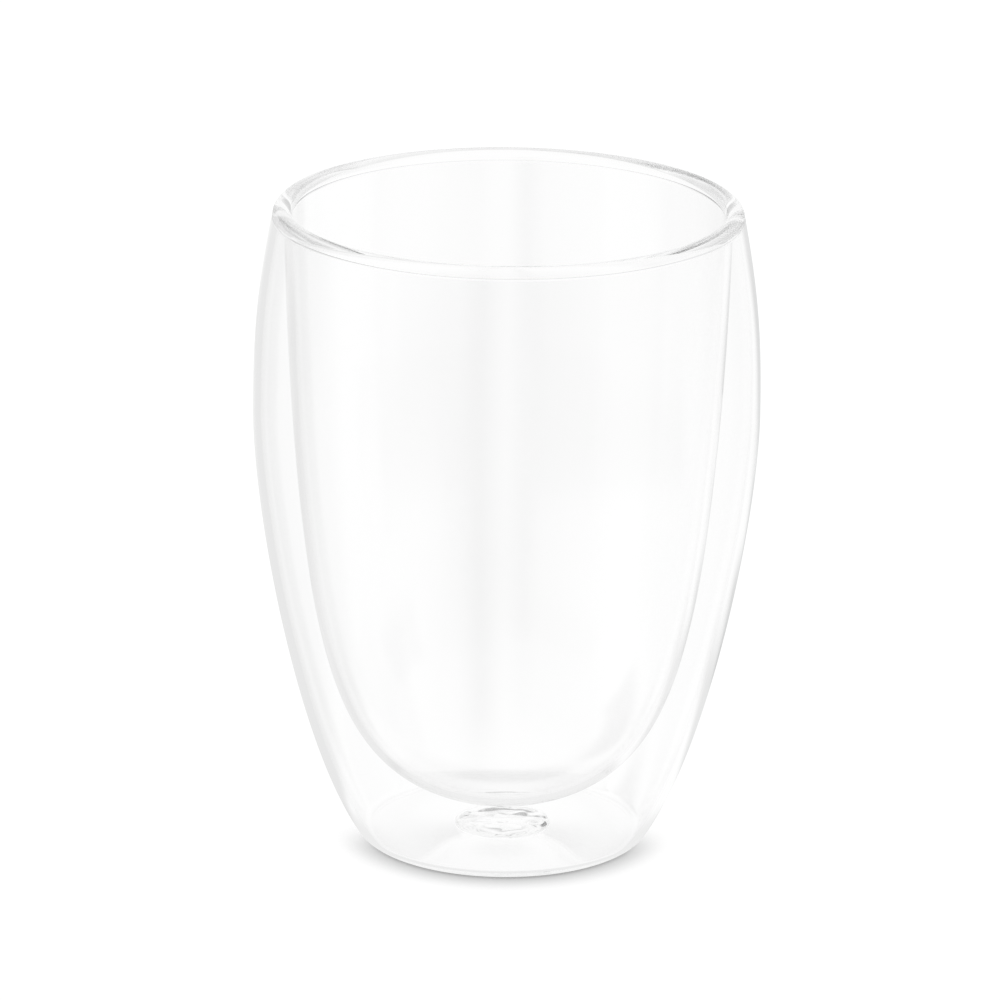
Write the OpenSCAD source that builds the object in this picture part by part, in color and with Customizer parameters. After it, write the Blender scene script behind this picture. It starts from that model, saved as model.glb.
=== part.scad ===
// Double-walled glass cup: an inner cup hung by its rim inside a rounded outer shell.
// The walls meet in a fused rim bead, and a melted seal closes the vent in the base.
// Sizes are in millimetres. The cup's axis is Z, and it stands on z = 0.

/* [Cup] */
// Overall height
cup_h = 120; // [100:1:150]
// Height of the fused rim above the two walls
bead_h = 2.8; // [2.2:0.1:4]

/* [Outer shell] */
// Outside radius where the wall meets the rim
rim_r = 42.85; // [39:0.05:47]
// How far the belly stands out past that radius
belly_swell = 3.3; // [2:0.1:7]
// How far the belly's widest point lies below the rim bead
belly_drop = 35.5; // [25:0.1:45]
// Radius of the flat base, inside its rounded corner
base_r = 24.2; // [20:0.1:30]
// Flare of the wall just above the base corner, in degrees
foot_flare = 33.5; // [20:0.5:42]
// Wall thickness of the outer shell
outer_wall = 1.4; // [1:0.1:2]

/* [Base] */
// Radius inside the rounded corner of the base
corner_r = 2; // [1:0.1:4]
// Width of the flat ring that the cup stands on
ring_w = 4; // [2:0.5:8]
// Rise of the base inside that ring
base_rise = 0.7; // [0.3:0.1:1.5]

/* [Vent seal] */
// Radius of the vent hole in the base
vent_r = 2.5; // [1.5:0.1:4]
// Radius of the melted button that closes the hole
seal_r = 8.8; // [6:0.2:12]
// Height of the button's edge above the floor of the shell
seal_h = 1.1; // [0.6:0.1:1.6]
// Depth of the dimple in the middle of the button
dimple_h = 0.5; // [0.1:0.1:0.5]
// Depth of the stub that hangs under the hole
stub_h = 0.3; // [0.1:0.1:0.3]

/* [Inner cup] */
// Wall thickness of the inner cup
inner_wall = 1.3; // [1:0.1:1.8]
// Gap between the two walls where they meet the rim
crevice = 1.1; // [0.5:0.05:1.6]
// Height of the round top of that gap
crevice_h = 0.5; // [0.2:0.05:0.8]
// Height at which the side passes into the round bowl
bowl_z = 42.5; // [34:0.5:52]
// Air gap between the two walls at that height
bowl_gap = 5.25; // [4:0.05:8]
// Lean of the inner wall at that height, in degrees
bowl_flare = 12; // [7:0.5:18]
// Air gap between the bowl and the vent seal
bottom_gap = 4.4; // [1.5:0.1:7]

/* [Hidden] */
$fn = 128;

// How clear the glass is drawn
glass_alpha = 0.4;

// Steps along each curve of the outlines
wall_steps = 28;
belly_steps = 14;
bowl_steps = 24;
corner_steps = 6;
floor_steps = 6;
button_steps = 16;
rim_steps = 32;
crevice_steps = 12;

// Handles of the curves, as shares of the height or the radius that they span
foot_share = 0.25;
belly_low_share = 0.24;
belly_top_share = 0.39;
bowl_floor_share = 0.745;
bowl_side_share = 0.469;
side_low_share = 0.237;
side_top_share = 0.308;

// The dimple's radius as a share of the button's, and how square the button's edge is
dimple_share = 0.75;
button_power = 2 / 3;

// Heights and radii of the outer shell
weld_z = cup_h - bead_h;
belly_r = rim_r + belly_swell;
belly_z = weld_z - belly_drop;
rim_lean = 2 * atan(belly_swell / belly_drop);
corner_out_r = corner_r + outer_wall;
ring_in_r = base_r - ring_w;

// Points on the outside of the outer shell where its curves join, each [radius, height]
foot = [base_r + corner_out_r * cos(foot_flare), corner_out_r * (1 - sin(foot_flare))];
belly = [belly_r, belly_z];
shoulder = [rim_r, weld_z];

// Radii of the inner cup at the rim, outside and inside
hang_r = rim_r - outer_wall / cos(rim_lean) - crevice;
lip_r = hang_r - inner_wall;

// Points on the outside of the inner cup where its curves join
bowl_r = lookup(bowl_z, [for (p = shell_wall(outer_wall)) [p.y, p.x]]) - bowl_gap;
bowl_bottom_z = base_rise + outer_wall + seal_h + bottom_gap;
bowl_bottom = [0, bowl_bottom_z];
bowl_top = [bowl_r, bowl_z];
hang = [hang_r, weld_z];

// Round of the rim, which touches the lip, the top and the line of the outer wall
rim_w = rim_r - lip_r;
rim_round = (cos(rim_lean) * rim_w - sin(rim_lean) * bead_h) / (1 + cos(rim_lean) - sin(rim_lean));
rim_centre = [lip_r + rim_round, cup_h - rim_round];

// A direction that leans outwards from straight up by an angle
function leaning(angle) = [sin(angle), cos(angle)];

// A list in the opposite order
function turned(points) = [for (i = [len(points) - 1 : -1 : 0]) points[i]];

// Point and direction at share t of a cubic curve from a to d with handles b and c
function curve_point(a, b, c, d, t) =
    (1 - t) ^ 3 * a + 3 * (1 - t) ^ 2 * t * b + 3 * (1 - t) * t ^ 2 * c + t ^ 3 * d;
function curve_slope(a, b, c, d, t) =
    (1 - t) ^ 2 * (b - a) + 2 * (1 - t) * t * (c - b) + t ^ 2 * (d - c);

// Points of such a curve, moved inwards by an inset, from step first on
function curve(a, b, c, d, steps, inset, first = 0) = [
    for (i = [first : steps])
        let (t = i / steps, slope = curve_slope(a, b, c, d, t), v = slope / norm(slope))
            curve_point(a, b, c, d, t) + inset * [-v.y, v.x]
];

// Side of the outer shell from the base corner up to the rim
function shell_wall(inset) =
    let (low_h = belly_z - foot.y)
        concat(
            curve(
                foot,
                foot + foot_share * low_h * leaning(foot_flare),
                belly - belly_low_share * low_h * leaning(0),
                belly,
                wall_steps,
                inset
            ),
            curve(
                belly,
                belly + belly_top_share * belly_drop * leaning(0),
                shoulder - belly_top_share * belly_drop * leaning(-rim_lean),
                shoulder,
                belly_steps,
                inset,
                1
            )
        );

// Rounded corner of the base, from the flat ring up to the side
function base_corner(radius) = [
    for (i = [0 : corner_steps - 1])
        let (angle = -90 + (90 - foot_flare) * i / corner_steps)
            [base_r, corner_out_r] + radius * [cos(angle), sin(angle)]
];

// Height of the underside of the base, which rises inside the flat ring
function floor_z(r) = base_rise * (1 + cos(180 * r / ring_in_r)) / 2;

// Points of the floor from the vent hole to the edge of the button, and on to the flat ring
function floor_run(from_r, to_r, lift, first = 0) = [
    for (i = [first : floor_steps])
        let (r = from_r + (to_r - from_r) * i / floor_steps)
            [r, floor_z(r) + lift]
];

// Side of the inner cup from its axis up to the rim
function cup_wall(inset) =
    let (bowl_h = bowl_z - bowl_bottom_z, side_h = weld_z - bowl_z)
        concat(
            curve(
                bowl_bottom,
                bowl_bottom + [bowl_floor_share * bowl_r, 0],
                bowl_top - bowl_side_share * bowl_h * leaning(bowl_flare),
                bowl_top,
                bowl_steps,
                inset
            ),
            curve(
                bowl_top,
                bowl_top + side_low_share * side_h * leaning(bowl_flare),
                hang - side_top_share * side_h * leaning(0),
                hang,
                wall_steps,
                inset,
                1
            )
        );

// Round of the rim, from the line of the outer wall over the top to the lip
function rim_over() = [
    for (i = [0 : rim_steps])
        let (angle = rim_lean + (180 - rim_lean) * i / rim_steps)
            rim_centre + rim_round * [cos(angle), sin(angle)]
];

// Round top of the crevice, from the inner wall over to the outer wall
function crevice_top() = [
    for (i = [0 : crevice_steps])
        let (angle = 180 - 180 * i / crevice_steps)
            [hang_r + crevice / 2 * (1 + cos(angle)), weld_z + crevice_h * sin(angle)]
];

// Top of the button: a square-shouldered dome with a soft dimple
function dimple_z(r) = dimple_h * (1 + cos(180 * min(1, r / (dimple_share * seal_r)))) / 2;
function button_top() = [
    for (i = [1 : button_steps])
        let (angle = 90 * i / button_steps, r = seal_r * cos(angle) ^ button_power)
            [r, floor_z(r) + outer_wall + seal_h * sin(angle) ^ button_power - dimple_z(r)]
];

// Underside of the stub, which swells a little below the base
function stub_under() = [
    for (i = [0 : floor_steps - 1])
        let (r = vent_r * i / floor_steps)
            [r, floor_z(r) - stub_h * (1 + cos(180 * i / floor_steps)) / 2]
];

// One side of the outer shell's base and wall, from the vent hole to the rim
function shell_side(inset) =
    concat(
        floor_run(vent_r, seal_r, inset),
        floor_run(seal_r, ring_in_r, inset, 1),
        base_corner(corner_out_r - inset),
        shell_wall(inset)
    );

module outer_shell() {
    weld_in = [rim_r - outer_wall / cos(rim_lean), weld_z];
    color("lightcyan", glass_alpha)
        rotate_extrude()
            polygon(concat(shell_side(0), [weld_in], turned(shell_side(outer_wall))));
}

module inner_cup() {
    color("azure", glass_alpha)
        rotate_extrude()
            polygon(concat(cup_wall(0), turned(cup_wall(inner_wall))));
}

module rim_bead() {
    color("aliceblue", glass_alpha)
        rotate_extrude()
            polygon(concat([[lip_r, weld_z]], crevice_top(), [shoulder], rim_over()));
}

module vent_seal() {
    color("paleturquoise", glass_alpha)
        rotate_extrude()
            polygon(
                concat(
                    stub_under(),
                    [[vent_r, floor_z(vent_r)]],
                    floor_run(vent_r, seal_r, outer_wall),
                    button_top()
                )
            );
}

outer_shell();
inner_cup();
rim_bead();
vent_seal();
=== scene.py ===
"""Studio picture of a double-walled glass cup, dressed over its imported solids.

The cup is four pieces of clear glass that the maker fuses together: a blown outer
shell, an inner cup that hangs in it, the rim bead that joins them, and the melted seal
of the vent hole in the base. Each piece is turned from its own outline.
"""

import logging
import math
from dataclasses import dataclass
from enum import Enum
from typing import Callable, ClassVar, Mapping, NamedTuple, Optional, Sequence

import bpy
from mathutils import Matrix, Vector, noise


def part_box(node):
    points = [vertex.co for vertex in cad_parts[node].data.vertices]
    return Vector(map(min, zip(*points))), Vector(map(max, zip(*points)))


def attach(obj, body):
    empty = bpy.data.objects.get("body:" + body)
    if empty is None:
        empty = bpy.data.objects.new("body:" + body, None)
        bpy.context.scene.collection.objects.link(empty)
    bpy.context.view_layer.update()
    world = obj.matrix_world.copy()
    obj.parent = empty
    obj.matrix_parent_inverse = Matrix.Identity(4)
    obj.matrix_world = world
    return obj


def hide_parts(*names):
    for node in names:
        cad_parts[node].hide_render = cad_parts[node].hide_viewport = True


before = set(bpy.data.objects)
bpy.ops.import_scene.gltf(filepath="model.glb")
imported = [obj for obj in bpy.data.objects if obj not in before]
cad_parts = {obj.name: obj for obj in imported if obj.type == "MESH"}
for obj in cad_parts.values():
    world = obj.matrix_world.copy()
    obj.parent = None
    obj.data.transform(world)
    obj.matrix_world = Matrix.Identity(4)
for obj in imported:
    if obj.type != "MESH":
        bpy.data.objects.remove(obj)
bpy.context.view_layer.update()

log = logging.getLogger("glass_cup")

MM = 0.001
SEGMENTS = 256
SHARP_ANGLE = 35.0
MOST_BOUNCES = 1024


class Node(str, Enum):
    """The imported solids, by name."""

    OUTER_SHELL = "outer_shell"
    INNER_CUP = "inner_cup"
    RIM_BEAD = "rim_bead"
    VENT_SEAL = "vent_seal"


class Slot(str, Enum):
    """The record's finishes, by slot name."""

    SHELL = "shell_glass"
    CUP = "cup_glass"
    RIM = "rim_glass"
    SEAL = "seal_glass"


class Skin(Enum):
    """What a stretch of an outline is: a side of the open glass, or a joint to the next piece."""

    OUTER = 0
    INNER = 1
    FUSED = 2


class Station(NamedTuple):
    """A point of an outline, in millimetres, and the skin that starts there."""

    r: float
    z: float
    skin: Skin = Skin.OUTER


def stations(points: Sequence[Vector], skin: Skin) -> list[Station]:
    """Turns points into stations of one skin."""
    return [Station(p.x, p.y, skin) for p in points]


def linear(hex_colour: str) -> tuple[float, float, float, float]:
    """Turns an sRGB hex colour into linear light.

    Args:
        hex_colour: Six hex digits after a hash sign.

    Returns:
        Red, green, blue and an alpha of one.
    """
    shares = [int(hex_colour[i:i + 2], 16) / 255 for i in (1, 3, 5)]
    light = [s / 12.92 if s <= 0.04045 else ((s + 0.055) / 1.055) ** 2.4 for s in shares]
    return (*light, 1.0)


def add_node(
    tree: bpy.types.NodeTree,
    kind: str,
    settings: Optional[Mapping[str, object]] = None,
    values: Optional[Mapping[object, object]] = None,
    links: Optional[Mapping[object, bpy.types.NodeSocket]] = None,
) -> bpy.types.Node:
    """Adds one node with its settings, its socket values and what is plugged into it.

    Args:
        tree: The node tree that takes the node.
        kind: Blender's name of the node type.
        settings: Properties of the node itself.
        values: Input sockets, by name or number, and their fixed values.
        links: Input sockets, by name or number, and the sockets that feed them.

    Returns:
        The new node.
    """
    node = tree.nodes.new(kind)
    for key, value in (settings or {}).items():
        setattr(node, key, value)
    for key, value in (values or {}).items():
        node.inputs[key].default_value = value
    for key, source in (links or {}).items():
        tree.links.new(source, node.inputs[key])
    return node


def new_material(name: str) -> bpy.types.Material:
    """Makes a material with an empty node tree.

    Args:
        name: The material's name.

    Returns:
        The new material.
    """
    made = bpy.data.materials.new(name)
    made.use_nodes = True
    made.node_tree.nodes.clear()
    return made


def smooth(share: float) -> float:
    """Eases a share from nought to one, flat at both ends."""
    share = min(1.0, max(0.0, share))
    return share * share * (3 - 2 * share)


def leaning(angle: float) -> Vector:
    """Gives the direction that leans outwards from straight up by an angle in degrees."""
    return Vector((math.sin(math.radians(angle)), math.cos(math.radians(angle))))


@dataclass(frozen=True)
class Sweep:
    """A cubic curve of an outline, with its handles, in millimetres of radius and height."""

    start: Vector
    start_handle: Vector
    end_handle: Vector
    end: Vector

    def points(self, steps: int, inset: float = 0.0) -> list[Vector]:
        """Follows the curve, moved towards the cup's axis.

        Args:
            steps: The number of equal steps.
            inset: How far the points lie inside the curve.

        Returns:
            The points from start to end.
        """
        made = []
        for i in range(steps + 1):
            t = i / steps
            u = 1 - t
            point = (
                u ** 3 * self.start
                + 3 * u * u * t * self.start_handle
                + 3 * u * t * t * self.end_handle
                + t ** 3 * self.end
            )
            slope = (
                u * u * (self.start_handle - self.start)
                + 2 * u * t * (self.end_handle - self.start_handle)
                + t * t * (self.end - self.end_handle)
            ).normalized()
            made.append(point + inset * Vector((-slope.y, slope.x)))
        return made


@dataclass
class CupSizes:
    """The cup's sizes in millimetres and degrees, read from the solids where they show them."""

    outer_wall: float = 1.4
    inner_wall: float = 1.3
    belly_drop: float = 35.5
    base_r: float = 24.2
    foot_flare: float = 33.5
    corner_r: float = 2.0
    ring_w: float = 4.0
    base_rise: float = 0.7
    vent_r: float = 2.5
    seal_h: float = 1.1
    dimple_h: float = 0.5
    stub_h: float = 0.3
    bowl_z: float = 42.5
    bowl_r: float = 34.45
    bowl_flare: float = 12.0
    crevice_h: float = 0.5

    def __post_init__(self) -> None:
        """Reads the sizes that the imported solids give, and works out what follows."""
        bead_low, bead_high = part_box(Node.RIM_BEAD.value)
        cup_low, cup_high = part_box(Node.INNER_CUP.value)
        self.cup_h = bead_high.z / MM
        self.weld_z = bead_low.z / MM
        self.rim_r = bead_high.x / MM
        self.belly_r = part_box(Node.OUTER_SHELL.value)[1].x / MM
        self.hang_r = cup_high.x / MM
        self.bowl_bottom_z = cup_low.z / MM
        self.seal_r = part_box(Node.VENT_SEAL.value)[1].x / MM
        self.belly_z = self.weld_z - self.belly_drop
        self.rim_lean = 2 * math.degrees(math.atan((self.belly_r - self.rim_r) / self.belly_drop))
        self.weld_in_r = self.rim_r - self.outer_wall / math.cos(math.radians(self.rim_lean))
        self.lip_r = self.hang_r - self.inner_wall
        self.corner_out_r = self.corner_r + self.outer_wall
        self.ring_in_r = self.base_r - self.ring_w

    def floor_z(self, r: float) -> float:
        """Gives the height of the base's underside, which rises inside its flat ring."""
        return self.base_rise * (1 + math.cos(math.pi * r / self.ring_in_r)) / 2


@dataclass(frozen=True)
class Ripple:
    """Slow waves that blowing leaves in a glass wall: depth and spacing in millimetres."""

    depth: float
    spacing: float
    seed: float

    def at(self, point: Vector) -> float:
        """Gives the wave's height at a point, all in millimetres."""
        return self.depth * noise.noise(point / self.spacing + Vector((self.seed, 0, 0)))

    def push(self, point: Vector, share: float) -> Vector:
        """Moves a point of a wall in or out from the cup's axis.

        Args:
            point: The point, in millimetres.
            share: How much of the wave the point takes.

        Returns:
            The moved point, at the same height.
        """
        grown = 1 + share * self.at(point) / math.hypot(point.x, point.y)
        return Vector((point.x * grown, point.y * grown, point.z))


def turn(
    name: str,
    outline: Sequence[Station],
    finishes: Sequence[bpy.types.Material],
    wave: Callable[[Vector, Skin], Vector],
) -> bpy.types.Object:
    """Turns a closed outline about the cup's axis into one closed mesh.

    Args:
        name: The piece's name.
        outline: Stations in order. If both ends lie on the axis they become poles.
        finishes: The open glass and the fused joint.
        wave: Moves a point of a skin, in millimetres, before it is placed.

    Returns:
        The new object, linked to the scene.
    """
    points: list[Vector] = []
    rings: list[list[int]] = []
    for station in outline:
        count = 1 if station.r == 0 else SEGMENTS
        rings.append([len(points) + i for i in range(count)])
        for i in range(count):
            angle = 2 * math.pi * i / SEGMENTS
            point = Vector((station.r * math.cos(angle), station.r * math.sin(angle), station.z))
            points.append(wave(point, station.skin) * MM)
    on_axis = outline[0].r == 0
    pairs = list(zip(range(len(outline)), range(1, len(outline))))
    if not on_axis:
        pairs.append((len(outline) - 1, 0))
    faces: list[list[int]] = []
    kinds: list[int] = []
    for low, high in pairs:
        for i in range(SEGMENTS):
            j = (i + 1) % SEGMENTS
            corners = [
                rings[low][i % len(rings[low])],
                rings[low][j % len(rings[low])],
                rings[high][j % len(rings[high])],
                rings[high][i % len(rings[high])],
            ]
            faces.append(list(dict.fromkeys(corners)))
            kinds.append(int(outline[low].skin is Skin.FUSED))
    mesh = bpy.data.meshes.new(name)
    mesh.from_pydata(points, [], faces)
    mesh.polygons.foreach_set("material_index", kinds)
    for finish in finishes:
        mesh.materials.append(finish)
    mesh.shade_smooth()
    mesh.set_sharp_from_angle(angle=math.radians(SHARP_ANGLE))
    mesh.validate()
    piece = bpy.data.objects.new(name, mesh)
    bpy.context.scene.collection.objects.link(piece)
    return piece


@dataclass(frozen=True)
class ClearGlass:
    """Borosilicate glass, blown and fire polished: water clear, with a skin as smooth as liquid.

    The eye sees it only by its edges, by soft bends in what lies behind it and by faint
    long waves in the reflections, so the finish has no grain: only a slow ripple.
    """

    name: str
    tint: str = "#ffffff"
    ior: float = 1.473
    roughness: float = 0.0
    ripple_mm: float = 14.0
    ripple_height_mm: float = 0.004
    ripple_detail: float = 1.0
    ripple_roughness: float = 0.3

    def material(self) -> bpy.types.Material:
        """Builds the finish.

        Returns:
            The new material.
        """
        made = new_material(self.name)
        tree = made.node_tree
        place = add_node(tree, "ShaderNodeTexCoord")
        waves = add_node(
            tree,
            "ShaderNodeTexNoise",
            values={
                "Scale": 1 / (self.ripple_mm * MM),
                "Detail": self.ripple_detail,
                "Roughness": self.ripple_roughness,
            },
            links={"Vector": place.outputs["Object"]},
        )
        bump = add_node(
            tree,
            "ShaderNodeBump",
            values={"Strength": 1.0, "Distance": self.ripple_height_mm * MM},
            links={"Height": waves.outputs["Fac"]},
        )
        glass = add_node(
            tree,
            "ShaderNodeBsdfPrincipled",
            values={
                "Base Color": linear(self.tint),
                "IOR": self.ior,
                "Roughness": self.roughness,
                "Transmission Weight": 1.0,
            },
            links={"Normal": bump.outputs["Normal"]},
        )
        add_node(tree, "ShaderNodeOutputMaterial", links={"Surface": glass.outputs["BSDF"]})
        return made


@dataclass(frozen=True)
class FusedGlass:
    """A joint inside the glass, melted shut: light goes straight through, so nothing shows."""

    name: str = "fused_joint_in_glass"
    tint: str = "#ffffff"

    def material(self) -> bpy.types.Material:
        """Builds the finish.

        Returns:
            The new material.
        """
        made = new_material(self.name)
        tree = made.node_tree
        clear = add_node(
            tree,
            "ShaderNodeBsdfPrincipled",
            values={"Base Color": linear(self.tint), "Alpha": 0.0},
        )
        add_node(tree, "ShaderNodeOutputMaterial", links={"Surface": clear.outputs["BSDF"]})
        return made


@dataclass
class GlassPiece:
    """What every piece of the cup shares: its sizes, its finish and its place in the frame."""

    sizes: CupSizes
    fused: bpy.types.Material

    node: ClassVar[Node]
    slot: ClassVar[Slot]
    glass: ClassVar[ClearGlass]

    def outline(self) -> list[Station]:
        """Gives the piece's closed outline."""
        raise NotImplementedError

    def wave(self, point: Vector, skin: Skin) -> Vector:
        """Leaves a point where it is; a piece with an uneven skin moves it."""
        return point

    def build(self) -> bpy.types.Object:
        """Turns the piece, dresses it and sets it on the cup's body.

        Returns:
            The piece.
        """
        finishes = [self.glass.material(), self.fused]
        piece = turn(f"{self.node.value}_glass", self.outline(), finishes, self.wave)
        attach(piece, "root")
        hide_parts(self.node.value)
        log.info("%s: %d faces", piece.name, len(piece.data.polygons))
        return piece


@dataclass
class OuterShell(GlassPiece):
    """The blown outer shell, with its rounded belly, its base and the vent hole."""

    node: ClassVar[Node] = Node.OUTER_SHELL
    slot: ClassVar[Slot] = Slot.SHELL
    glass: ClassVar[ClearGlass] = ClearGlass("borosilicate_glass_shell")

    outer_ripple: Ripple = Ripple(depth=0.015, spacing=26.0, seed=3.0)
    inner_ripple: Ripple = Ripple(depth=0.02, spacing=19.0, seed=11.0)
    fade_mm: float = 8.0
    low_steps: int = 90
    top_steps: int = 44
    corner_steps: int = 14
    floor_steps: int = 14
    foot_share: float = 0.25
    belly_low_share: float = 0.24
    belly_top_share: float = 0.39

    def wall(self, inset: float) -> list[Vector]:
        """Draws the shell's side from the base corner up to the rim.

        Args:
            inset: How far inside the outer face the line lies.

        Returns:
            The points of the line.
        """
        s = self.sizes
        flare = math.radians(s.foot_flare)
        foot = Vector((
            s.base_r + s.corner_out_r * math.cos(flare),
            s.corner_out_r * (1 - math.sin(flare)),
        ))
        belly = Vector((s.belly_r, s.belly_z))
        shoulder = Vector((s.rim_r, s.weld_z))
        low_h = s.belly_z - foot.y
        low = Sweep(
            foot,
            foot + self.foot_share * low_h * leaning(s.foot_flare),
            belly - self.belly_low_share * low_h * leaning(0),
            belly,
        )
        top = Sweep(
            belly,
            belly + self.belly_top_share * s.belly_drop * leaning(0),
            shoulder - self.belly_top_share * s.belly_drop * leaning(-s.rim_lean),
            shoulder,
        )
        return low.points(self.low_steps, inset) + top.points(self.top_steps, inset)[1:]

    def corner(self, radius: float) -> list[Vector]:
        """Draws the rounded corner of the base, from the flat ring up to the side.

        Args:
            radius: The corner's radius.

        Returns:
            The points of the corner, without the last, where the side starts.
        """
        s = self.sizes
        made = []
        for i in range(self.corner_steps):
            angle = math.radians(-90 + (90 - s.foot_flare) * i / self.corner_steps)
            made.append(Vector((
                s.base_r + radius * math.cos(angle),
                s.corner_out_r + radius * math.sin(angle),
            )))
        return made

    def floor(self, from_r: float, to_r: float, lift: float) -> list[Vector]:
        """Draws a stretch of the base.

        Args:
            from_r: The radius that it starts at.
            to_r: The radius that it ends at.
            lift: How far above the underside the line lies.

        Returns:
            The points of the line.
        """
        steps = self.floor_steps
        radii = [from_r + (to_r - from_r) * i / steps for i in range(steps + 1)]
        return [Vector((r, self.sizes.floor_z(r) + lift)) for r in radii]

    def outline(self) -> list[Station]:
        """Goes out along the underside, up the outside, and back down the inside.

        Returns:
            The closed outline.
        """
        s = self.sizes
        under = self.floor(s.vent_r, s.ring_in_r, 0)
        outside = under + self.corner(s.corner_out_r) + self.wall(0)
        inside = self.floor(s.seal_r, s.ring_in_r, s.outer_wall)
        inside += self.corner(s.corner_r) + self.wall(s.outer_wall)
        seat = self.floor(s.vent_r, s.seal_r, s.outer_wall)[:-1]
        made = stations(outside, Skin.OUTER)
        made[-1] = made[-1]._replace(skin=Skin.FUSED)
        made.append(Station(s.weld_in_r, s.weld_z, Skin.INNER))
        made += stations(inside[::-1], Skin.INNER)
        made[-1] = made[-1]._replace(skin=Skin.FUSED)
        return made + stations(seat[::-1], Skin.FUSED)

    def wave(self, point: Vector, skin: Skin) -> Vector:
        """Ripples both sides of the wall a little, away from the base and the rim.

        Args:
            point: A point of the smooth shell.
            skin: The skin that the point lies on.

        Returns:
            The point on the rippled shell.
        """
        s = self.sizes
        ease = smooth((point.z - s.corner_out_r) / self.fade_mm)
        ease *= smooth((s.weld_z - point.z) / self.fade_mm)
        if ease == 0 or skin is Skin.FUSED:
            return point
        ripple = self.outer_ripple if skin is Skin.OUTER else self.inner_ripple
        return ripple.push(point, ease)


@dataclass
class InnerCup(GlassPiece):
    """The blown inner cup, which hangs in the shell by its rim."""

    node: ClassVar[Node] = Node.INNER_CUP
    slot: ClassVar[Slot] = Slot.CUP
    glass: ClassVar[ClearGlass] = ClearGlass("borosilicate_glass_cup")

    outer_ripple: Ripple = Ripple(depth=0.04, spacing=22.0, seed=23.0)
    inner_ripple: Ripple = Ripple(depth=0.04, spacing=24.0, seed=31.0)
    fade_mm: float = 8.0
    bowl_steps: int = 70
    side_steps: int = 80
    bowl_floor_share: float = 0.745
    bowl_side_share: float = 0.469
    side_low_share: float = 0.237
    side_top_share: float = 0.308

    def wall(self, inset: float) -> list[Vector]:
        """Draws the cup's side from its axis up to the rim.

        Args:
            inset: How far inside the outer face the line lies.

        Returns:
            The points of the line.
        """
        s = self.sizes
        bottom = Vector((0, s.bowl_bottom_z))
        side = Vector((s.bowl_r, s.bowl_z))
        hang = Vector((s.hang_r, s.weld_z))
        bowl_h = s.bowl_z - s.bowl_bottom_z
        side_h = s.weld_z - s.bowl_z
        bowl = Sweep(
            bottom,
            bottom + Vector((self.bowl_floor_share * s.bowl_r, 0)),
            side - self.bowl_side_share * bowl_h * leaning(s.bowl_flare),
            side,
        )
        flank = Sweep(
            side,
            side + self.side_low_share * side_h * leaning(s.bowl_flare),
            hang - self.side_top_share * side_h * leaning(0),
            hang,
        )
        return bowl.points(self.bowl_steps, inset) + flank.points(self.side_steps, inset)[1:]

    def outline(self) -> list[Station]:
        """Goes up the outside from the axis, over the weld and down the inside.

        Returns:
            The closed outline.
        """
        outside = stations(self.wall(0), Skin.OUTER)
        outside[-1] = outside[-1]._replace(skin=Skin.FUSED)
        inside = stations(self.wall(self.sizes.inner_wall)[::-1], Skin.INNER)
        outside[0] = outside[0]._replace(r=0)
        inside[-1] = inside[-1]._replace(r=0)
        return outside + inside

    def wave(self, point: Vector, skin: Skin) -> Vector:
        """Ripples the wall a little, away from the axis and the rim.

        Args:
            point: A point of the smooth cup.
            skin: The skin that the point lies on.

        Returns:
            The point on the rippled cup.
        """
        r = math.hypot(point.x, point.y)
        ease = smooth(r / self.fade_mm - 1)
        ease *= smooth((self.sizes.weld_z - point.z) / self.fade_mm)
        if ease == 0 or skin is Skin.FUSED:
            return point
        ripple = self.outer_ripple if skin is Skin.OUTER else self.inner_ripple
        return ripple.push(point, ease)


@dataclass
class RimBead(GlassPiece):
    """The ring at the rim where both walls are melted into one and rounded by the flame."""

    node: ClassVar[Node] = Node.RIM_BEAD
    slot: ClassVar[Slot] = Slot.RIM
    glass: ClassVar[ClearGlass] = ClearGlass("borosilicate_glass_rim")

    round_steps: int = 40
    crevice_steps: int = 16

    def outline(self) -> list[Station]:
        """Goes round the bead from the lip, with the crevice's round top between the joints.

        Returns:
            The closed outline.
        """
        s = self.sizes
        lean = math.radians(s.rim_lean)
        bead_h = s.cup_h - s.weld_z
        rim_w = s.rim_r - s.lip_r
        # The rounding touches the lip's upright side, the top and the shell's leaning side.
        rounding = math.cos(lean) * rim_w - math.sin(lean) * bead_h
        rounding /= 1 + math.cos(lean) - math.sin(lean)
        centre = Vector((s.lip_r + rounding, s.cup_h - rounding))
        made = [Station(s.lip_r, s.weld_z, Skin.FUSED), Station(s.hang_r, s.weld_z)]
        half = (s.weld_in_r - s.hang_r) / 2
        for i in range(1, self.crevice_steps):
            angle = math.pi * (1 - i / self.crevice_steps)
            made.append(Station(
                s.hang_r + half * (1 + math.cos(angle)),
                s.weld_z + s.crevice_h * math.sin(angle),
            ))
        made += [Station(s.weld_in_r, s.weld_z, Skin.FUSED), Station(s.rim_r, s.weld_z)]
        for i in range(self.round_steps + 1):
            angle = lean + (math.pi - lean) * i / self.round_steps
            made.append(Station(
                centre.x + rounding * math.cos(angle),
                centre.y + rounding * math.sin(angle),
            ))
        return made


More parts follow.
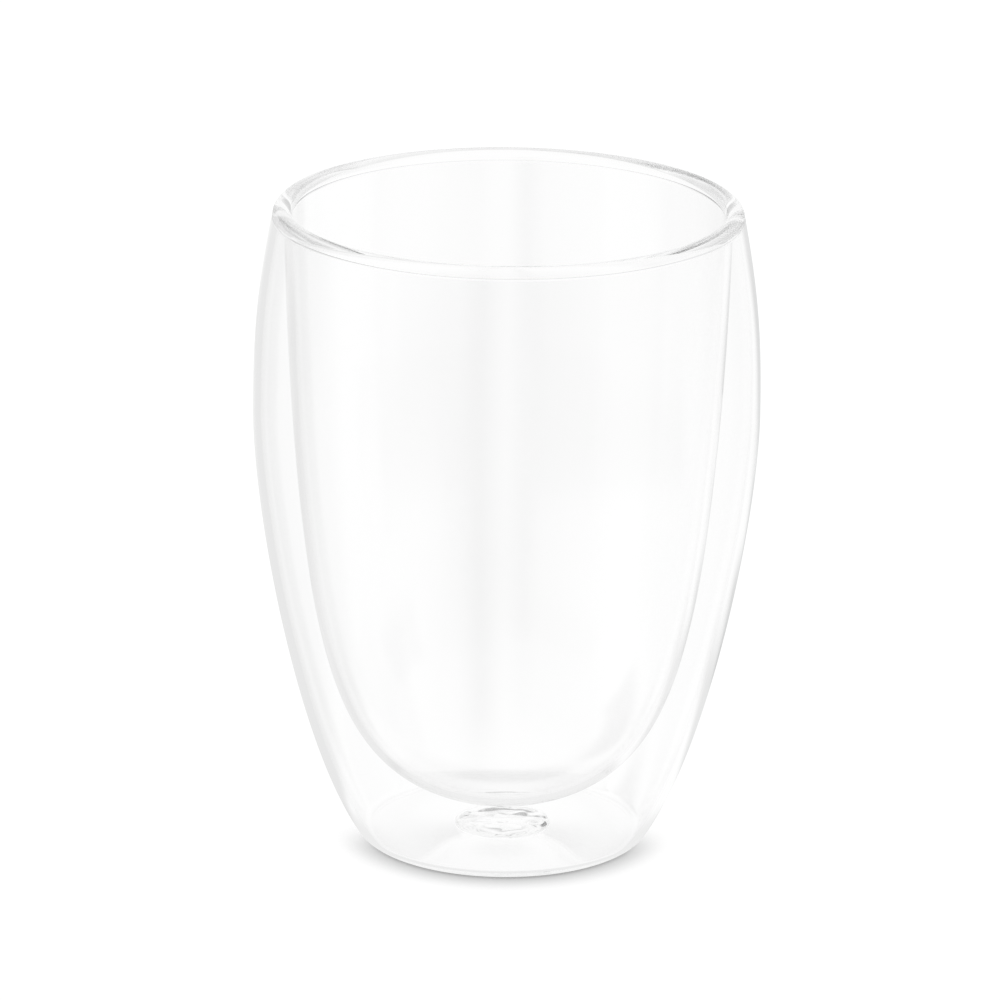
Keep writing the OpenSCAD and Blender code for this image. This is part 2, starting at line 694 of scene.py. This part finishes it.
@dataclass
class VentSeal(GlassPiece):
    """The blob of melted glass that closes the vent hole, a little uneven as the flame left it."""

    node: ClassVar[Node] = Node.VENT_SEAL
    slot: ClassVar[Slot] = Slot.SEAL
    glass: ClassVar[ClearGlass] = ClearGlass(
        "borosilicate_glass_seal", ripple_mm=3.0, ripple_height_mm=0.01
    )

    ripple: Ripple = Ripple(depth=0.45, spacing=2.8, seed=63.0)
    smooth_share: float = 0.2
    pinch_start: float = -2.0
    pinch_full: float = 3.0
    stub_steps: int = 12
    seat_steps: int = 14
    top_steps: int = 48
    dimple_share: float = 0.75
    button_power: float = 2 / 3

    def outline(self) -> list[Station]:
        """Goes from the stub's middle out under the button, over its edge and back to the axis.

        Returns:
            The closed outline.
        """
        s = self.sizes
        made = []
        for i in range(self.stub_steps):
            share = i / self.stub_steps
            r = s.vent_r * share
            made.append(Station(r, s.floor_z(r) - s.stub_h * (1 + math.cos(math.pi * share)) / 2))
        made.append(Station(s.vent_r, s.floor_z(s.vent_r), Skin.FUSED))
        for i in range(self.seat_steps):
            r = s.vent_r + (s.seal_r - s.vent_r) * i / self.seat_steps
            made.append(Station(r, s.floor_z(r) + s.outer_wall, Skin.FUSED))
        made.append(Station(s.seal_r, s.floor_z(s.seal_r) + s.outer_wall, Skin.INNER))
        dimple_r = self.dimple_share * s.seal_r
        for i in range(1, self.top_steps + 1):
            angle = math.pi / 2 * i / self.top_steps
            r = 0 if i == self.top_steps else s.seal_r * math.cos(angle) ** self.button_power
            dip = s.dimple_h * (1 + math.cos(math.pi * min(1, r / dimple_r))) / 2
            rise = s.seal_h * math.sin(angle) ** self.button_power
            made.append(Station(r, s.floor_z(r) + s.outer_wall + rise - dip, Skin.INNER))
        return made

    def wave(self, point: Vector, skin: Skin) -> Vector:
        """Crinkles the button's top, most at the back, where the flame pinched it off.

        Args:
            point: A point of the smooth seal.
            skin: The skin that the point lies on.

        Returns:
            The point on the crinkled seal.
        """
        if skin is not Skin.INNER:
            return point
        s = self.sizes
        rise = point.z - s.floor_z(math.hypot(point.x, point.y)) - s.outer_wall
        pinch = smooth((point.y - self.pinch_start) / (self.pinch_full - self.pinch_start))
        ease = self.smooth_share + (1 - self.smooth_share) * pinch
        return point + Vector((0, 0, ease * smooth(rise / s.seal_h) * self.ripple.at(point)))


class Looker(NamedTuple):
    """Sockets that are one for the camera, for glass, and for light that glass has mirrored."""

    camera: bpy.types.NodeSocket
    glass: bpy.types.NodeSocket
    mirrored: bpy.types.NodeSocket


@dataclass(frozen=True)
class Card:
    """A soft card of the light tent, which the glass mirrors. Angles are in degrees.

    Azimuth is counted from behind the cup towards its right, and elevation as seen from
    the middle of the cup, so that a card below nought lies on the table. The level is the
    card's brightness beside the white round it.
    """

    azimuth: float
    elevation: float
    width: float
    height: float
    edge: float
    level: float

    def cover(
        self,
        tree: bpy.types.NodeTree,
        azimuth: bpy.types.NodeSocket,
        elevation: bpy.types.NodeSocket,
    ) -> bpy.types.NodeSocket:
        """Hangs the card.

        Args:
            tree: The tree that takes the card.
            azimuth: The looked-at azimuth, in radians.
            elevation: The looked-at elevation, in radians.

        Returns:
            A socket with the card's level inside it and one outside it.
        """
        reach = []
        for angle, centre, size in (
            (azimuth, self.azimuth, self.width),
            (elevation, self.elevation, self.height),
        ):
            away = add_node(
                tree,
                "ShaderNodeMath",
                settings={"operation": "SUBTRACT"},
                values={1: math.radians(centre)},
                links={0: angle},
            )
            wrapped = add_node(
                tree,
                "ShaderNodeMath",
                settings={"operation": "WRAP"},
                values={1: math.pi, 2: -math.pi},
                links={0: away.outputs["Value"]},
            )
            off = add_node(
                tree,
                "ShaderNodeMath",
                settings={"operation": "ABSOLUTE"},
                links={0: wrapped.outputs["Value"]},
            )
            inside = add_node(
                tree,
                "ShaderNodeMapRange",
                settings={"interpolation_type": "SMOOTHSTEP"},
                values={
                    "From Min": math.radians(size / 2 + self.edge / 2),
                    "From Max": math.radians(size / 2 - self.edge / 2),
                },
                links={"Value": off.outputs["Value"]},
            )
            reach.append(inside.outputs["Result"])
        both = add_node(
            tree,
            "ShaderNodeMath",
            settings={"operation": "MULTIPLY"},
            links={0: reach[0], 1: reach[1]},
        )
        level = add_node(
            tree,
            "ShaderNodeMapRange",
            settings={"clamp": False},
            values={"To Min": 1.0, "To Max": self.level},
            links={"Value": both.outputs["Value"]},
        )
        return level.outputs["Result"]


@dataclass(frozen=True)
class LightTent:
    """A white tent round the cup, with soft cards that show only where the glass mirrors them."""

    colour: str = "#ffffff"
    ambient: float = 0.9
    cards: tuple[Card, ...] = (
        # On the table behind the cup: the grey of the left wall and the right wall's edge.
        Card(azimuth=-50, elevation=-33, width=70, height=66, edge=16, level=0.81),
        Card(azimuth=17, elevation=-20, width=20, height=30, edge=8, level=0.72),
        Card(azimuth=31, elevation=-27, width=12, height=12, edge=6, level=0.72),
        Card(azimuth=40, elevation=-42, width=36, height=26, edge=12, level=0.8),
        # The bright right side, and painted shade on the table right under the cup, which only the
        # glass mirrors.
        Card(azimuth=93, elevation=-26, width=80, height=40, edge=22, level=1.06),
        Card(azimuth=0, elevation=-90, width=720, height=56, edge=6, level=0.85),
        # In front: the soft patches inside the mouth and the stripe down the middle.
        Card(azimuth=132, elevation=-9.5, width=70, height=8, edge=8, level=0.72),
        Card(azimuth=184, elevation=-5, width=70, height=60, edge=40, level=0.85),
        Card(azimuth=191, elevation=-12, width=12, height=70, edge=14, level=0.6),
        Card(azimuth=215, elevation=-9.5, width=40, height=8, edge=8, level=0.8),
        # High up behind: the dark crinkles of the seal.
        Card(azimuth=-3, elevation=29, width=26, height=14, edge=8, level=0.5),
        Card(azimuth=-8, elevation=30, width=72, height=18, edge=12, level=0.8),
        # High up on the other sides: the streaks that run along the rim.
        Card(azimuth=58, elevation=12, width=37, height=26, edge=12, level=0.82),
        Card(azimuth=98, elevation=15, width=34, height=18, edge=9, level=0.55),
        Card(azimuth=150, elevation=17, width=40, height=22, edge=14, level=0.85),
        Card(azimuth=222, elevation=18, width=60, height=15, edge=10, level=0.82),
        Card(azimuth=312, elevation=19, width=46, height=22, edge=12, level=0.1),
    )

    def looker(self, tree: bpy.types.NodeTree) -> Looker:
        """Adds the tests of who looks.

        Args:
            tree: A material's or the world's node tree.

        Returns:
            The sockets with the answers.
        """
        path = add_node(tree, "ShaderNodeLightPath")
        glass = add_node(
            tree,
            "ShaderNodeMath",
            settings={"operation": "MAXIMUM"},
            links={0: path.outputs["Is Glossy Ray"], 1: path.outputs["Is Transmission Ray"]},
        )
        mirrored = add_node(
            tree,
            "ShaderNodeMath",
            settings={"operation": "MINIMUM"},
            values={1: 1.0},
            links={0: path.outputs["Glossy Depth"]},
        )
        return Looker(
            path.outputs["Is Camera Ray"], glass.outputs["Value"], mirrored.outputs["Value"]
        )

    def level(
        self,
        tree: bpy.types.NodeTree,
        direction: bpy.types.NodeSocket,
        mirrored: bpy.types.NodeSocket,
    ) -> bpy.types.NodeSocket:
        """Hangs all the cards, and keeps what is seen straight through the glass white.

        Args:
            tree: The tree that takes the cards.
            direction: The direction looked at from the middle of the cup, of length one.
            mirrored: One for light that the glass has mirrored, or else nought.

        Returns:
            A socket with the level in that direction.
        """
        axes = add_node(tree, "ShaderNodeSeparateXYZ", links={0: direction})
        azimuth = add_node(
            tree,
            "ShaderNodeMath",
            settings={"operation": "ARCTAN2"},
            links={0: axes.outputs["X"], 1: axes.outputs["Y"]},
        )
        elevation = add_node(
            tree,
            "ShaderNodeMath",
            settings={"operation": "ARCSINE"},
            links={0: axes.outputs["Z"]},
        )
        angles = azimuth.outputs["Value"], elevation.outputs["Value"]
        product = self.cards[0].cover(tree, *angles)
        for card in self.cards[1:]:
            product = add_node(
                tree,
                "ShaderNodeMath",
                settings={"operation": "MULTIPLY"},
                links={0: product, 1: card.cover(tree, *angles)},
            ).outputs["Value"]
        shown = add_node(
            tree, "ShaderNodeMix", values={"A": 1.0}, links={"Factor": mirrored, "B": product}
        )
        return shown.outputs["Result"]

    def build(self) -> None:
        """Hangs the tent round the cup: white to the eye, with its cards mirrored in the glass."""
        world = bpy.data.worlds.new("light_tent")
        world.use_nodes = True
        tree = world.node_tree
        tree.nodes.clear()
        looker = self.looker(tree)
        place = add_node(tree, "ShaderNodeTexCoord")
        level = self.level(tree, place.outputs["Generated"], looker.mirrored)
        in_glass = add_node(
            tree,
            "ShaderNodeMix",
            values={"A": self.ambient},
            links={"Factor": looker.glass, "B": level},
        )
        strength = add_node(
            tree,
            "ShaderNodeMix",
            values={"B": 1.0},
            links={"Factor": looker.camera, "A": in_glass.outputs["Result"]},
        )
        tent = add_node(
            tree,
            "ShaderNodeBackground",
            values={"Color": linear(self.colour)},
            links={"Strength": strength.outputs["Result"]},
        )
        add_node(tree, "ShaderNodeOutputWorld", links={"Surface": tent.outputs["Background"]})
        bpy.context.scene.world = world
        log.info("light tent: %d cards", len(self.cards))


@dataclass(frozen=True)
class MattTable:
    """A board painted matt white: no gloss, so the eye sees only the shade at the cup's foot, which
    is mostly painted.

    The board glows a little to the eye, which keeps it as white as the tent. A painted shade is drawn
    into that glow where the cup hides the board within a short reach.
    The board's position fades it out towards the back, as if lit from behind; only the matt paint's
    small share takes real shade.
    """

    name: str = "matt_white_table_painted_shade"
    colour: str = "#f4f4f4"
    white: float = 1.08
    glow: float = 0.9
    painted_shade_reach_mm: float = 6.0
    painted_shade_start_mm: float = 4.0
    painted_shade_full_mm: float = -14.0
    painted_shade_depth: float = 0.7
    painted_shade_power: float = 2.0
    painted_shade_samples: int = 16
    cup_middle: tuple[float, float, float] = (0.0, 0.0, 0.06)

    def painted_shade(
        self, tree: bpy.types.NodeTree, place: bpy.types.NodeSocket
    ) -> bpy.types.NodeSocket:
        """Adds the painted shade at the cup's foot.

        Args:
            tree: The tree that takes the shade.
            place: The point of the board.

        Returns:
            A socket with the board's brightness to the eye.
        """
        # Painted shade: the more of the board the cup hides within a short reach, the darker the
        # board's glow.
        nook = add_node(
            tree,
            "ShaderNodeAmbientOcclusion",
            settings={"samples": self.painted_shade_samples},
            values={"Distance": self.painted_shade_reach_mm * MM},
        )
        hidden = add_node(
            tree,
            "ShaderNodeMath",
            settings={"operation": "SUBTRACT"},
            values={0: 1.0},
            links={1: nook.outputs["AO"]},
        )
        deep = add_node(
            tree,
            "ShaderNodeMath",
            settings={"operation": "POWER"},
            values={1: self.painted_shade_power},
            links={0: hidden.outputs["Value"]},
        )
        axes = add_node(tree, "ShaderNodeSeparateXYZ", links={0: place})
        # The painted shade fades out towards the back by the board's position, as if the light came
        # from behind.
        ahead = add_node(
            tree,
            "ShaderNodeMapRange",
            settings={"interpolation_type": "SMOOTHSTEP"},
            values={
                "From Min": self.painted_shade_start_mm * MM,
                "From Max": self.painted_shade_full_mm * MM,
                "To Max": -self.painted_shade_depth * self.white,
            },
            links={"Value": axes.outputs["Y"]},
        )
        left = add_node(
            tree,
            "ShaderNodeMath",
            settings={"operation": "MULTIPLY_ADD"},
            values={2: self.white},
            links={0: deep.outputs["Value"], 1: ahead.outputs["Result"]},
        )
        return left.outputs["Value"]

    def material(self, tent: LightTent) -> bpy.types.Material:
        """Builds the finish.

        Args:
            tent: The light tent, whose lower cards lie on the board.

        Returns:
            The new material.
        """
        made = new_material(self.name)
        tree = made.node_tree
        looker = tent.looker(tree)
        place = add_node(tree, "ShaderNodeNewGeometry").outputs["Position"]
        from_cup = add_node(
            tree,
            "ShaderNodeVectorMath",
            settings={"operation": "SUBTRACT"},
            values={1: self.cup_middle},
            links={0: place},
        )
        direction = add_node(
            tree,
            "ShaderNodeVectorMath",
            settings={"operation": "NORMALIZE"},
            links={0: from_cup.outputs["Vector"]},
        )
        to_glass = add_node(
            tree,
            "ShaderNodeMath",
            settings={"operation": "MULTIPLY"},
            links={
                0: looker.glass,
                1: tent.level(tree, direction.outputs["Vector"], looker.mirrored),
            },
        )
        # To the eye the board glows white with the painted shade drawn in; to the glass it glows at
        # the tent's level.
        brightness = add_node(
            tree,
            "ShaderNodeMath",
            settings={"operation": "MULTIPLY_ADD"},
            links={0: looker.camera, 1: self.painted_shade(tree, place), 2: to_glass.outputs["Value"]},
        )
        paint = add_node(tree, "ShaderNodeBsdfDiffuse", values={"Color": linear(self.colour)})
        shine = add_node(
            tree, "ShaderNodeEmission", links={"Strength": brightness.outputs["Value"]}
        )
        share = add_node(
            tree,
            "ShaderNodeMath",
            settings={"operation": "MAXIMUM"},
            values={1: self.glow},
            links={0: looker.glass},
        )
        both = add_node(
            tree,
            "ShaderNodeMixShader",
            links={0: share.outputs["Value"], 1: paint.outputs["BSDF"], 2: shine.outputs["Emission"]},
        )
        add_node(tree, "ShaderNodeOutputMaterial", links={"Surface": both.outputs["Shader"]})
        return made


@dataclass(frozen=True)
class Floor:
    """The round table board, a hair below the cup so that no two faces lie in one plane."""

    radius: float = 2.0
    steps: int = 96
    drop_mm: float = 0.05
    finish: MattTable = MattTable()

    def build(self, tent: LightTent) -> bpy.types.Object:
        """Lays the floor.

        Args:
            tent: The light tent that stands on it.

        Returns:
            The floor.
        """
        mesh = bpy.data.meshes.new("floor")
        ring = [2 * math.pi * i / self.steps for i in range(self.steps)]
        corners = [(self.radius * math.cos(a), self.radius * math.sin(a), 0) for a in ring]
        mesh.from_pydata(corners, [], [list(range(self.steps))])
        mesh.materials.append(self.finish.material(tent))
        floor = bpy.data.objects.new("floor", mesh)
        floor.location.z = -self.drop_mm * MM
        bpy.context.scene.collection.objects.link(floor)
        log.info("floor: %.1f m across", 2 * self.radius)
        return floor


@dataclass(frozen=True)
class Camera:
    """The camera, in metres and degrees, with its lens and sensor in millimetres."""

    place: tuple[float, float, float] = (0.0, -1.2005, 0.44639)
    pitch: float = 17.661
    yaw: float = -0.0496
    roll: float = 0.5749
    lens: float = 248.19
    sensor: float = 36.0

    def build(self) -> None:
        """Sets the camera where the photograph was taken from."""
        pitch, yaw, roll = (math.radians(a) for a in (self.pitch, self.yaw, self.roll))
        ahead = Vector((
            math.sin(yaw) * math.cos(pitch),
            math.cos(yaw) * math.cos(pitch),
            -math.sin(pitch),
        ))
        level = Vector((math.cos(yaw), -math.sin(yaw), 0))
        upright = level.cross(ahead)
        right = level * math.cos(roll) + upright * math.sin(roll)
        up = upright * math.cos(roll) - level * math.sin(roll)
        turned = Matrix((right, up, -ahead)).transposed()
        lens = bpy.data.cameras.new("camera")
        lens.lens = self.lens
        lens.sensor_width = self.sensor
        holder = bpy.data.objects.new("camera", lens)
        holder.matrix_world = Matrix.Translation(self.place) @ turned.to_4x4()
        bpy.context.scene.collection.objects.link(holder)
        bpy.context.scene.camera = holder
        log.info("camera: %.0f mm lens", self.lens)


def main() -> None:
    """Builds the studio and the cup, piece by piece."""
    logging.basicConfig(level=logging.INFO, format="%(name)s: %(message)s")
    scene = bpy.context.scene
    scene.view_settings.view_transform = "Standard"
    # The rim sends light down the walls, which carry it a long way before it leaves the glass.
    scene.cycles.max_bounces = MOST_BOUNCES
    scene.cycles.transmission_bounces = MOST_BOUNCES
    scene.cycles.glossy_bounces = MOST_BOUNCES
    scene.cycles.transparent_max_bounces = MOST_BOUNCES
    tent = LightTent()
    Camera().build()
    Floor().build(tent)
    tent.build()
    sizes = CupSizes()
    fused = FusedGlass().material()
    for piece in (OuterShell, InnerCup, RimBead, VentSeal):
        piece(sizes, fused).build()


if __name__ == "__main__":
    main()
